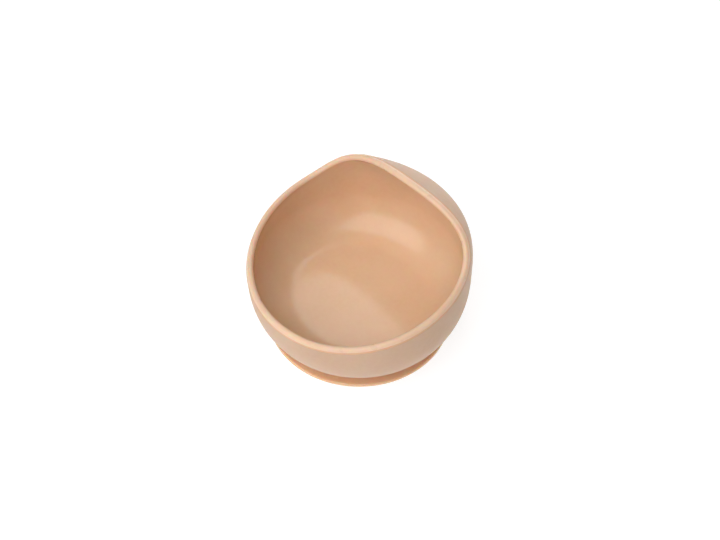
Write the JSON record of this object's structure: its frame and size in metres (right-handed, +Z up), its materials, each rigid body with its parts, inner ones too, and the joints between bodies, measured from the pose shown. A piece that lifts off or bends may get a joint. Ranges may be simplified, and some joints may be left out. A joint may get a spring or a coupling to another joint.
{
  "type": "suction bowl",
  "caption": "Small child's silicone bowl with a raised back that curls inwards, a rounded rim and a dished suction cup under it.",
  "frame": {"origin": "on the table under the middle of the suction cup, on the bowl's vertical axis", "axes": "+Z up, +Y towards the raised back of the bowl, +X to the right seen from the low front"},
  "size_m": [0.12, 0.12, 0.0782],
  "materials": {
    "bowl_silicone": "opaque peach silicone, satin outside, polished rim and inside",
    "cup_silicone": "polished, slightly darker peach silicone"
  },
  "bodies": {
    "suction_foot": {"suction_cup": "cup_silicone"},
    "bowl": {"bowl_shell": "bowl_silicone"}
  },
  "joints": [
    {"name": "press_down", "type": "slide", "parent": "suction_foot", "child": "bowl", "axis": [0, 0, -1], "range_m": [0, 0.003], "stiffness_N_per_m": 9000, "deforming": ["suction_cup"]}
  ]
}
